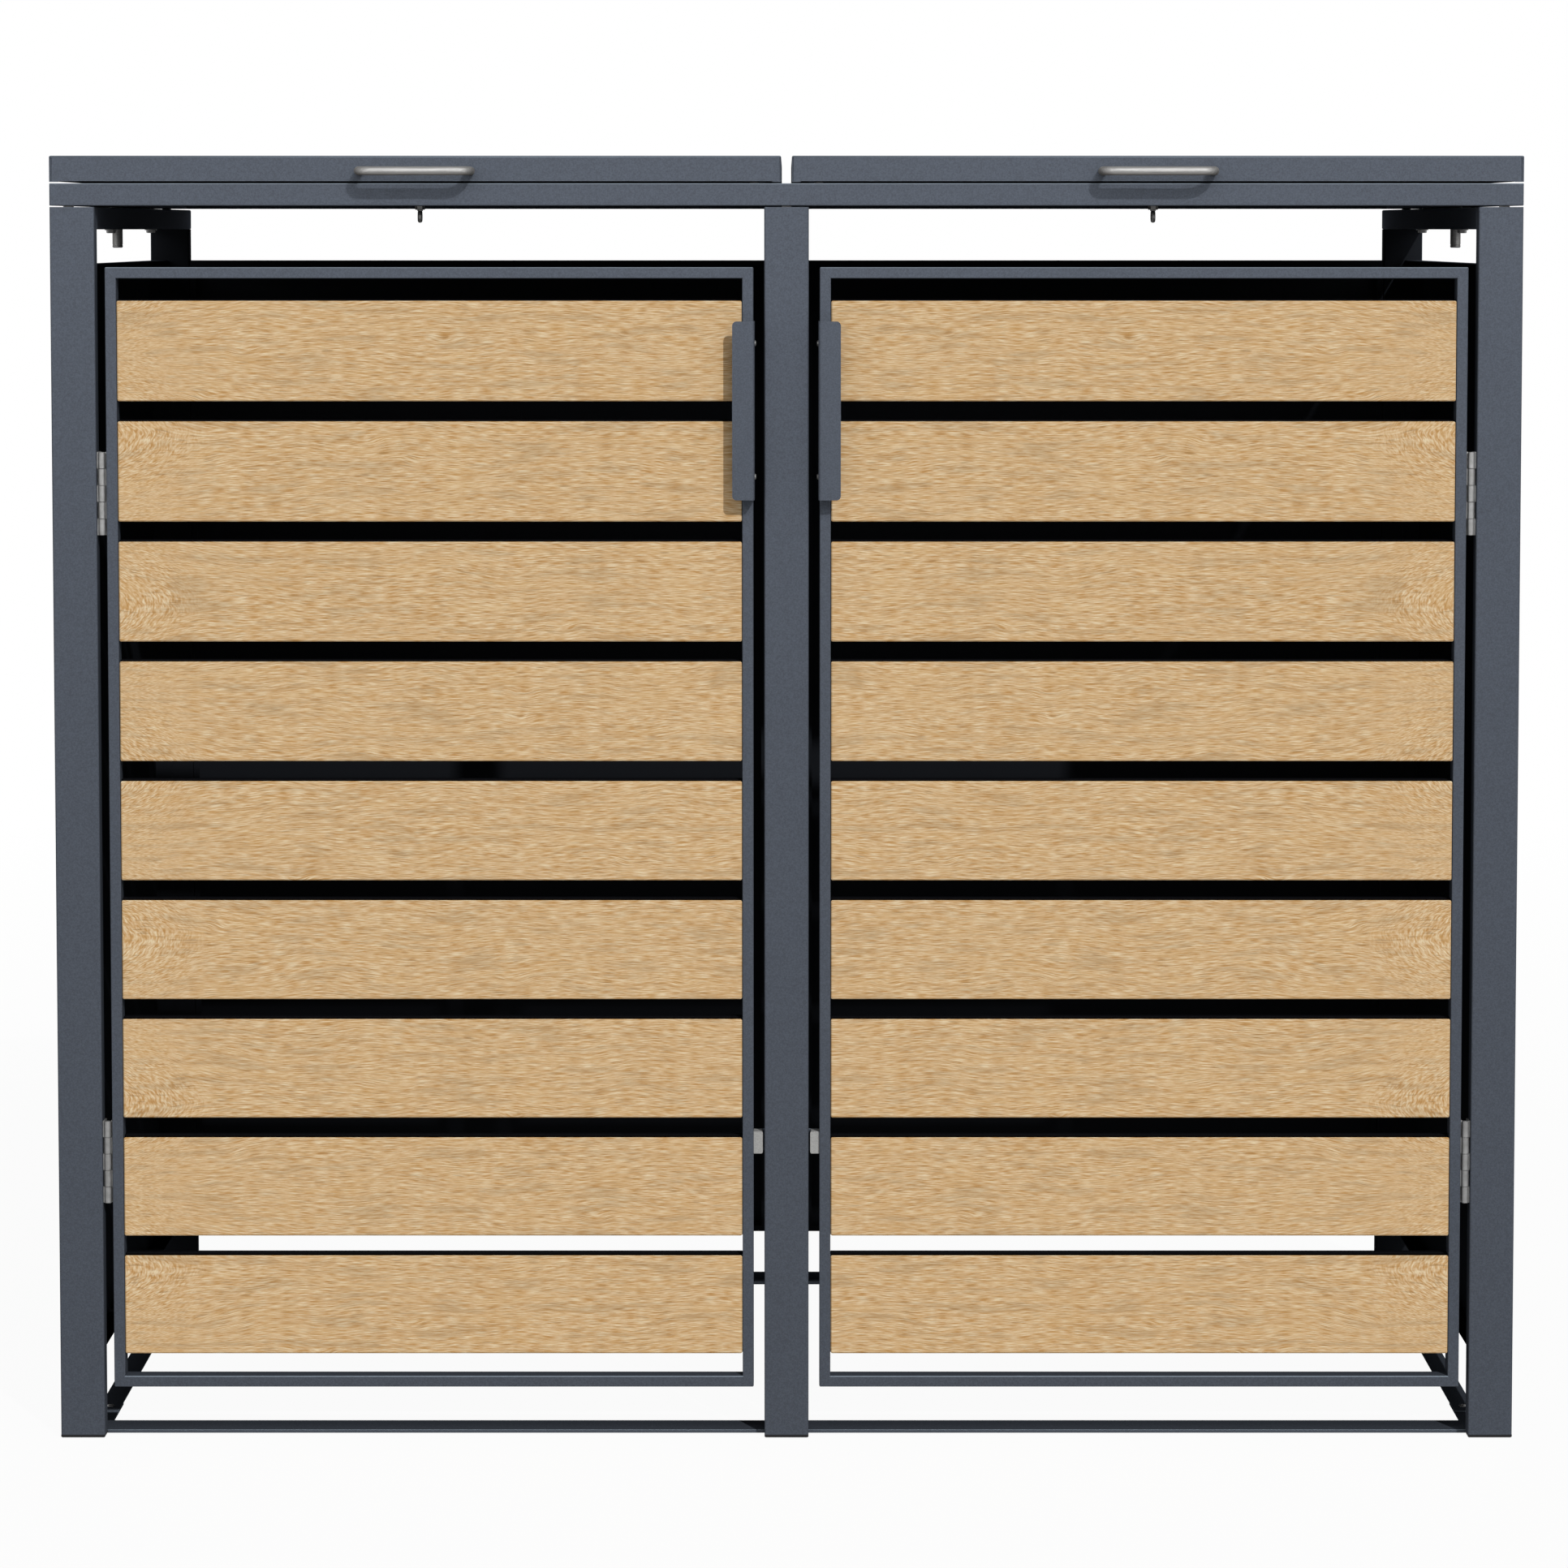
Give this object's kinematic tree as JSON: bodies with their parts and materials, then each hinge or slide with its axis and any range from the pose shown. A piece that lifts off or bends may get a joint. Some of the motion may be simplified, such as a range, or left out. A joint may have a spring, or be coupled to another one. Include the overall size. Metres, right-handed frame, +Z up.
{
  "type": "wheelie bin store",
  "caption": "Free-standing double store for wheeled refuse bins: a rectangular tube frame with slatted front doors, folded side and rear panels and two hinged lids.",
  "frame": {"origin": "middle of the overall plan, on the floor", "axes": "+X to the right seen from the front, +Y to the rear, +Z up"},
  "size_m": [1.32, 0.8392, 1.1624],
  "materials": {
    "powder_coat": "fine-textured anthracite powder coat",
    "oak_board": "oak decor face on a board with black edges",
    "stainless": "satin brushed",
    "zinc": "bright zinc plate",
    "black_plastic": "moulded, matt",
    "grey_plastic": "moulded, matt",
    "bumper": "soft, matt"
  },
  "bodies": {
    "carcass": {"centre_top_rail": "powder_coat", "damper_cylinders": "stainless", "fixed_hinge_leaves": "zinc", "floor_bars": "powder_coat", "frame_spacers": "zinc", "front_centre_post": "powder_coat", "front_left_post": "powder_coat", "front_right_post": "powder_coat", "hinge_pins": "zinc", "left_rear_panel": "powder_coat", "left_side_panel": "powder_coat", "left_top_rail": "powder_coat", "lid_bumpers": "bumper", "post_feet": "black_plastic", "rear_centre_post": "powder_coat", "rear_left_post": "powder_coat", "rear_right_post": "powder_coat", "right_rear_panel": "powder_coat", "right_side_panel": "powder_coat", "right_top_rail": "powder_coat", "top_frame": "powder_coat"},
    "left_door": {"left_door_frame": "powder_coat", "left_board_1": "oak_board", "left_board_2": "oak_board", "left_board_3": "oak_board", "left_board_4": "oak_board", "left_board_5": "oak_board", "left_board_6": "oak_board", "left_board_7": "oak_board", "left_board_8": "oak_board", "left_board_9": "oak_board", "left_door_handle": "powder_coat", "left_catch": "grey_plastic", "left_door_leaves": "zinc"},
    "left_lid": {"left_lid": "powder_coat", "left_lid_bracket": "powder_coat", "left_lid_handle": "stainless", "left_eye_bolt": "stainless", "left_lid_leaves": "zinc"},
    "left_plunger": {"left_plunger": "stainless"},
    "right_door": {"right_door_frame": "powder_coat", "right_board_1": "oak_board", "right_board_2": "oak_board", "right_board_3": "oak_board", "right_board_4": "oak_board", "right_board_5": "oak_board", "right_board_6": "oak_board", "right_board_7": "oak_board", "right_board_8": "oak_board", "right_board_9": "oak_board", "right_door_handle": "powder_coat", "right_catch": "grey_plastic", "right_door_leaves": "zinc"},
    "right_lid": {"right_lid": "powder_coat", "right_lid_bracket": "powder_coat", "right_lid_handle": "stainless", "right_eye_bolt": "stainless", "right_lid_leaves": "zinc"},
    "right_plunger": {"right_plunger": "stainless"}
  },
  "joints": [
    {"name": "left_door_hinge", "type": "hinge", "parent": "carcass", "child": "left_door", "pos_m": [-0.61555, -0.3835, 0.5562], "axis": [0, 0, -1], "range_deg": [0, 100]},
    {"name": "right_door_hinge", "type": "hinge", "parent": "carcass", "child": "right_door", "pos_m": [0.61555, -0.3835, 0.5562], "axis": [0, 0, 1], "range_deg": [0, 100]},
    {"name": "left_lid_hinge", "type": "hinge", "parent": "carcass", "child": "left_lid", "pos_m": [-0.3324, 0.4165, 1.13875], "axis": [-1, 0, 0], "range_deg": [0, 100]},
    {"name": "right_lid_hinge", "type": "hinge", "parent": "carcass", "child": "right_lid", "pos_m": [0.3324, 0.4165, 1.13875], "axis": [-1, 0, 0], "range_deg": [0, 100]},
    {"name": "left_plunger_slide", "type": "slide", "parent": "carcass", "child": "left_plunger", "axis": [0, 0, 1], "range_m": [0, 0.012]},
    {"name": "right_plunger_slide", "type": "slide", "parent": "carcass", "child": "right_plunger", "axis": [0, 0, 1], "range_m": [0, 0.012]}
  ],
  "couplings": [
    {"joint": "left_plunger_slide", "follows": "left_lid_hinge", "m_per_rad": 0.006875},
    {"joint": "right_plunger_slide", "follows": "right_lid_hinge", "m_per_rad": 0.006875}
  ]
}
